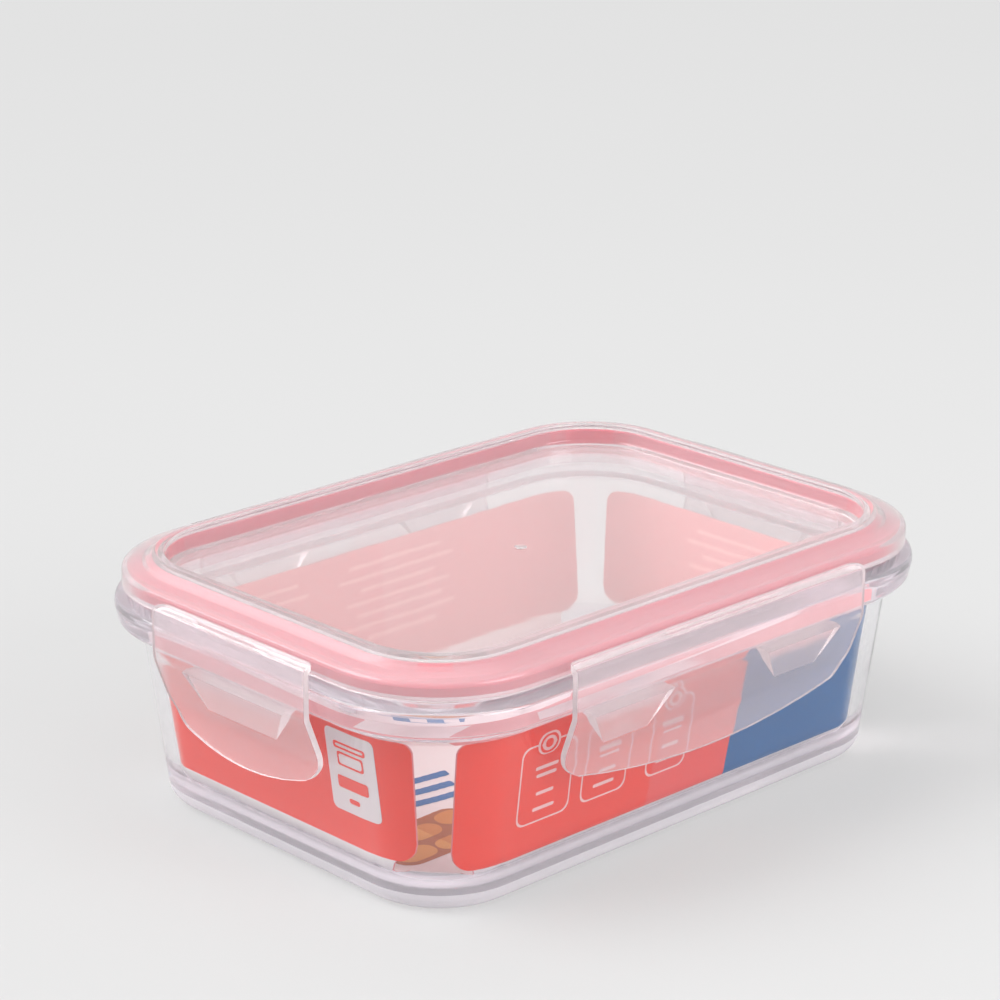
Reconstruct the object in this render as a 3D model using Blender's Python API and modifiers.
"""Snap-lid glass food container: a pressed glass tub, a moulded lid with four snap latches, a silicone
seal ring and the printed card insert that lines the tub in the shop.

The frame's origin is the middle of the base, +Z is up and +X runs along the long side.  Every ring of
the object is the same rounded rectangle grown or shrunk, so one number, its half length, says how large
a ring is: the half width is SIDE_STEP less, and the corner arcs keep their centres.
"""

import math

import bmesh
import bpy
from mathutils import Vector

MM = 0.001

# Driving dimensions, in millimetres.
CORNER_X = 58.0  # centres of the corner arcs, which every ring shares
CORNER_Y = 33.8
SIDE_STEP = CORNER_X - CORNER_Y
CORNER_STEPS = 6  # facets in each corner of the tub, lid and seal

DRAFT = 0.13  # how much a tub wall leans out for each millimetre of height
OUTER_FOOT = 78.8  # half length of the outer wall's line, drawn down to the table
INNER_FOOT = 75.4
FLOOR_TOP = 4.5
FOOT_RECESS = 0.8
OUTER_FILLET = 10.0
INNER_FILLET = 8.0
FLANGE_HALF = 91.0  # half length of the tub's flange at its widest
LIP_HALF = 86.3
LIP_TOP = 58.0

LID_HALF = 89.0  # half length of the lid's skirt
SKIRT_FOOT = 55.6
RIDGE_TOP = 63.6
WINDOW_TOP = 58.0
WINDOW_UNDER = 56.5
WINDOW_HALF = 76.8
SEAL_GAP = 0.3

HINGE_HALF = 89.2  # the latches' hinge lines, just outside the skirt's shoulder
HINGE_Z = 59.3
LATCH_THICK = 1.5
LONG_LATCH = 98.0
SHORT_LATCH = 54.5
LATCH_TOP_RADIUS = 2.5
LATCH_FOOT_RADIUS = 7.0
LATCH_BOW = 5.8  # how far the middle of a latch's foot hangs below its ends
LATCH_ROWS = 11

LUG_TOP = 45.3
LUG_FOOT = 36.5
LUG_TIP = 86.9  # half length of the ring that the lugs' tips reach, under the flange
LUG_SLANT = 6.0
LONG_LUG = 26.0
LONG_LUG_OFFSET = 29.0
SHORT_LUG = 36.0

CARD_THICK = 0.4
CARD_FLOOR = 5.1
CARD_TOP = 43.0
CARD_FOOT = 74.9  # half length of the card walls' line, drawn down to the table
CARD_LONG_HALF = 69.0  # half length of a long wall panel, measured along the card
CARD_SHORT_HALF = 47.0


def ring(half, z):
    """The corners of one rounded rectangle, anticlockwise from above, in metres."""
    radius = half - CORNER_X
    points = []
    for quarter, (sx, sy) in enumerate(((1, 1), (-1, 1), (-1, -1), (1, -1))):
        for step in range(CORNER_STEPS + 1):
            angle = math.radians(90 * (quarter + step / CORNER_STEPS))
            x = sx * CORNER_X + radius * math.cos(angle)
            y = sy * CORNER_Y + radius * math.sin(angle)
            points.append(Vector((x, y, z)) * MM)
    return points


def quarter_arc(half, z, radius, start, steps=4):
    """(half length, z) points of a quarter circle, anticlockwise from an angle in degrees."""
    angles = [math.radians(start + 90 * i / steps) for i in range(steps + 1)]
    return [(half + radius * math.cos(a), z + radius * math.sin(a)) for a in angles]


def link(name, bm, material, collection):
    """Make the object of a finished bmesh."""
    bmesh.ops.recalc_face_normals(bm, faces=bm.faces)
    mesh = bpy.data.meshes.new(name)
    bm.to_mesh(mesh)
    bm.free()
    if material:
        mesh.materials.append(material)
    mesh.shade_smooth()
    mesh.set_sharp_from_angle(angle=math.radians(40))
    made = bpy.data.objects.new(name, mesh)
    collection.objects.link(made)
    return made


def loft(name, section, material, collection, hoop=False):
    """A solid whose section, (half length, z) points, runs round the rounded rectangle.  The section
    starts and ends at a flat face that fills the middle, unless it closes on itself to make a hoop."""
    bm = bmesh.new()
    loops = [[bm.verts.new(p) for p in ring(half, z)] for half, z in section]
    pairs = list(zip(loops, loops[1:]))
    if hoop:
        pairs.append((loops[-1], loops[0]))
    else:
        bm.faces.new(loops[0])
        bm.faces.new(loops[-1])
    for low, high in pairs:
        for i in range(len(low)):
            j = (i + 1) % len(low)
            bm.faces.new((low[i], low[j], high[j], high[i]))
    return link(name, bm, material, collection)


def finish(name, colour, roughness, alpha=1.0, transmission=0.0):
    """A Principled material; every piece here is a non-metal."""
    made = bpy.data.materials.new(name)
    made.use_nodes = True
    shader = made.node_tree.nodes["Principled BSDF"]
    shader.inputs["Base Color"].default_value = (*colour, 1.0)
    shader.inputs["Metallic"].default_value = 0.0
    shader.inputs["Roughness"].default_value = roughness
    shader.inputs["Alpha"].default_value = alpha
    shader.inputs["Transmission Weight"].default_value = transmission
    made.diffuse_color = (*colour, alpha)
    return made


def glass_tub(glass, collection):
    """The pressed tub: a foot ring, drafted walls, and the flange and lip that the lid closes on."""
    outer_z = OUTER_FILLET
    outer_arc = quarter_arc(OUTER_FOOT + DRAFT * outer_z - OUTER_FILLET, outer_z, OUTER_FILLET, -90)
    inner_z = FLOOR_TOP + INNER_FILLET
    inner_arc = quarter_arc(INNER_FOOT + DRAFT * inner_z - INNER_FILLET, inner_z, INNER_FILLET, -90)
    foot = [(63.0, FOOT_RECESS), (65.0, 0.0)]
    flange = [
        (OUTER_FOOT + DRAFT * 44.2, 44.2),
        (85.8, 45.8),
        (88.6, 46.2),
        (89.8, 47.0),
        (90.6, 49.0),
        (FLANGE_HALF, 51.5),
        (90.9, 52.6),
        (90.0, 53.7),
        (86.8, 54.6),
    ]
    lip = [
        (LIP_HALF, 55.3),
        (LIP_HALF, 57.0),
        (85.8, 57.7),
        (85.0, LIP_TOP),
        (83.3, LIP_TOP),
        (INNER_FOOT + DRAFT * 56.9, 56.9),
    ]
    section = foot + outer_arc + flange + lip + inner_arc[::-1]
    return loft("glass_tub", section, glass, collection)


def lid_panel(plastic, collection):
    """The lid moulding: a sunk clear window, a raised ridge, the seal's channel and a short skirt."""
    over = [
        (WINDOW_HALF, WINDOW_TOP),
        (77.4, 58.2),
        (78.1, 59.2),
        (78.5, 63.1),
        (79.1, RIDGE_TOP),
        (80.4, RIDGE_TOP),
        (81.4, 63.3),
        (83.2, 62.0),
        (83.8, 61.7),
        (87.2, 60.8),
        (88.3, 60.4),
        (LID_HALF, 59.3),
        (LID_HALF, SKIRT_FOOT),
    ]
    under = [
        (87.2, SKIRT_FOOT),
        (87.2, 58.6),
        (86.4, 59.3),
        (83.8, 60.1),
        (82.8, 60.6),
        (81.2, 61.9),
        (80.4, 62.0),
        (79.8, 61.2),
        (79.7, 54.2),
        (78.2, 54.2),
        (78.0, WINDOW_UNDER),
    ]
    return loft("lid_panel", over + under, plastic, collection)


def seal_ring(silicone, collection):
    """The silicone seal: a flat band over the glass lip and a blade that hangs inside it."""
    band_under = LIP_TOP + SEAL_GAP
    section = [
        (86.7, band_under),
        (86.2, 58.95),
        (83.7, 59.75),
        (82.7, 60.25),
        (81.1, 61.55),
        (80.7, 61.5),
        (80.2, 61.0),
        (80.2, 56.2),
        (81.9, 56.2),
        (81.9, band_under),
    ]
    return loft("seal_ring", section, silicone, collection, hoop=True)


# Middle surface of a latch seen end on, (half length, z), from its hinge edge to its foot.
LATCH_SIDE = [
    (89.5, 58.4),
    (91.3, 58.3),
    (92.0, 58.0),
    (92.35, 57.2),
    (92.35, 47.2),
    (91.9, 45.0),
    (91.0, 42.5),
    (89.4, 38.5),
    (88.0, 34.0),
    (87.4, 31.0),
    (87.5, 28.0),
    (87.9, 25.3),
]


def along(outline, distance):
    """The point of an open outline at a distance along it."""
    for (x0, z0), (x1, z1) in zip(outline, outline[1:]):
        length = math.hypot(x1 - x0, z1 - z0)
        if distance <= length:
            share = distance / length
            return x0 + (x1 - x0) * share, z0 + (z1 - z0) * share
        distance -= length
    return outline[-1]


def latch_columns(width):
    """(place across, start, end) of a latch's columns: its corners are round and its foot bows down."""
    half = width / 2
    side_length = sum(math.dist(a, b) for a, b in zip(LATCH_SIDE, LATCH_SIDE[1:]))
    places = [half - LATCH_FOOT_RADIUS * (1 - math.cos(math.radians(a))) for a in (0, 20, 40, 60, 80)]
    places += [half * 0.6, half * 0.3]
    places = sorted({round(sign * place, 4) for place in places + [0.0] for sign in (1, -1)})
    columns = []
    for place in places:
        inset = half - abs(place)
        start, end = 0.0, side_length - LATCH_BOW * (place / half) ** 2
        if inset < LATCH_FOOT_RADIUS:
            end -= LATCH_FOOT_RADIUS - math.sqrt(LATCH_FOOT_RADIUS**2 - (LATCH_FOOT_RADIUS - inset) ** 2)
        if inset < LATCH_TOP_RADIUS:
            start += LATCH_TOP_RADIUS - math.sqrt(LATCH_TOP_RADIUS**2 - (LATCH_TOP_RADIUS - inset) ** 2)
        columns.append((place, start, end))
    return columns


def hinge_point(half, place, z):
    """A point of a latch that faces +X, in metres from the middle of its hinge line."""
    return Vector((half - HINGE_HALF, place, z - HINGE_Z)) * MM


def latch_wall(name, width, plastic, collection):
    """The flap of a latch that faces +X, as a sheet thickened by Solidify."""
    bm = bmesh.new()
    grid = []
    for place, start, end in latch_columns(width):
        column = []
        for row in range(LATCH_ROWS + 1):
            half, z = along(LATCH_SIDE, start + (end - start) * row / LATCH_ROWS)
            column.append(bm.verts.new(hinge_point(half, place, z)))
        grid.append(column)
    for left, right in zip(grid, grid[1:]):
        for row in range(LATCH_ROWS):
            bm.faces.new((left[row], left[row + 1], right[row + 1], right[row]))
    made = link(name, bm, plastic, collection)
    solid = made.modifiers.new("thickness", "SOLIDIFY")
    solid.thickness = LATCH_THICK * MM
    solid.offset = 0.0
    solid.use_even_offset = True
    return made


def lug(name, middle, width, collection):
    """One wedge that catches under the flange: wide at its flat top, narrow and shallow at its foot."""
    root_top, root_foot, tip_foot = 91.9, 88.6, 87.9
    bm = bmesh.new()
    bmesh.ops.create_cube(bm, size=1.0)
    for vert in bm.verts:
        top, inner = vert.co.z > 0, vert.co.x < 0
        across = width / 2 - (0.0 if top else LUG_SLANT)
        if top:
            reach = LUG_TIP if inner else root_top
        else:
            reach = tip_foot if inner else root_foot
        place = middle + math.copysign(across, vert.co.y)
        vert.co = hinge_point(reach, place, LUG_TOP if top else LUG_FOOT)
    tool = link(name, bm, None, collection)
    tool.hide_render = True
    tool.display_type = "WIRE"
    return tool


def latch(name, width, lugs, turn, plastic, collection, tools):
    """A latch with its lugs, its object's origin on the hinge line, turned to face its side."""
    made = latch_wall(name, width, plastic, collection)
    for number, (middle, size) in enumerate(lugs):
        union = made.modifiers.new(f"lug {number}", "BOOLEAN")
        union.operation = "UNION"
        union.object = lug(f"{name}_lug_{number}", middle, size, tools)
        union.object.parent = made
    reach = HINGE_HALF - (SIDE_STEP if turn % 180 else 0.0)
    angle = math.radians(turn)
    made.location = Vector((reach * math.cos(angle), reach * math.sin(angle), HINGE_Z)) * MM
    made.rotation_euler = (0.0, 0.0, angle)
    return made


def card_point(half, z, long_side, place):
    """The point of a ring at a distance along it from the middle of its +X or +Y side."""
    straight = CORNER_X if long_side else CORNER_Y
    radius = half - CORNER_X
    bend = max(0.0, abs(place) - straight) / radius
    run = math.copysign(min(abs(place), straight) + radius * math.sin(bend), place)
    reach = half - radius * (1 - math.cos(bend))
    if long_side:
        return Vector((run, reach - SIDE_STEP, z)) * MM
    return Vector((reach, run, z)) * MM


def card_rows():
    """(half length, z, share of the full width) of a wall panel's rows, from its fold to its top edge."""
    bend_z = CARD_FLOOR + 7.4
    bend = quarter_arc(CARD_FOOT + DRAFT * bend_z - 7.4, bend_z, 7.4, -90, steps=3)
    rows = [(half, z, share) for (half, z), share in zip(bend, (0.86, 0.9, 0.94, 0.98))]
    for z, share in ((18.0, 1.0), (30.0, 1.0), (CARD_TOP - 2.0, 0.995), (CARD_TOP, 0.96)):
        rows.append((CARD_FOOT + DRAFT * z, z, share))
    return rows


def card_insert(board, collection):
    """One die-cut sheet: an eight-sided floor and four wall panels folded up against the glass."""
    bm = bmesh.new()
    shares = (-1.0, -0.92, -0.8, -0.4, 0.0, 0.4, 0.8, 0.92, 1.0)
    floor = []
    for long_side, turn in ((False, 1), (True, 1), (False, -1), (True, -1)):
        full = CARD_LONG_HALF if long_side else CARD_SHORT_HALF
        grid = []
        for half, z, narrow in card_rows():
            row = [card_point(half, z, long_side, full * narrow * share) for share in shares]
            grid.append([bm.verts.new((turn * p.x, turn * p.y, p.z)) for p in row])
        for low, high in zip(grid, grid[1:]):
            for i in range(len(shares) - 1):
                bm.faces.new((low[i], low[i + 1], high[i + 1], high[i]))
        floor.extend(reversed(grid[0]) if long_side else grid[0])
    bm.faces.new(floor)
    made = link("card_insert", bm, board, collection)
    solid = made.modifiers.new("thickness", "SOLIDIFY")
    solid.thickness = CARD_THICK * MM
    solid.offset = 0.0
    return made


def main():
    for old in list(bpy.data.objects):
        bpy.data.objects.remove(old)
    container = bpy.data.collections.new("snap_lid_food_container")
    tools = bpy.data.collections.new("tools")
    bpy.context.scene.collection.children.link(container)
    bpy.context.scene.collection.children.link(tools)

    glass = finish("tempered_glass", (0.93, 0.95, 0.96), 0.02, alpha=0.35, transmission=1.0)
    plastic = finish("frosted_polypropylene", (0.93, 0.91, 0.91), 0.35, alpha=0.5, transmission=0.6)
    silicone = finish("coral_silicone", (0.86, 0.26, 0.28), 0.5)
    board = finish("printed_card", (0.86, 0.12, 0.09), 0.45)

    glass_tub(glass, container)
    card_insert(board, container)
    lid_panel(plastic, container)
    seal_ring(silicone, container)
    pair = [(-LONG_LUG_OFFSET, LONG_LUG), (LONG_LUG_OFFSET, LONG_LUG)]
    single = [(0.0, SHORT_LUG)]
    for name, width, lugs, turn in (
        ("latch_right", SHORT_LATCH, single, 0),
        ("latch_back", LONG_LATCH, pair, 90),
        ("latch_left", SHORT_LATCH, single, 180),
        ("latch_front", LONG_LATCH, pair, 270),
    ):
        latch(name, width, lugs, turn, plastic, container, tools)


main()
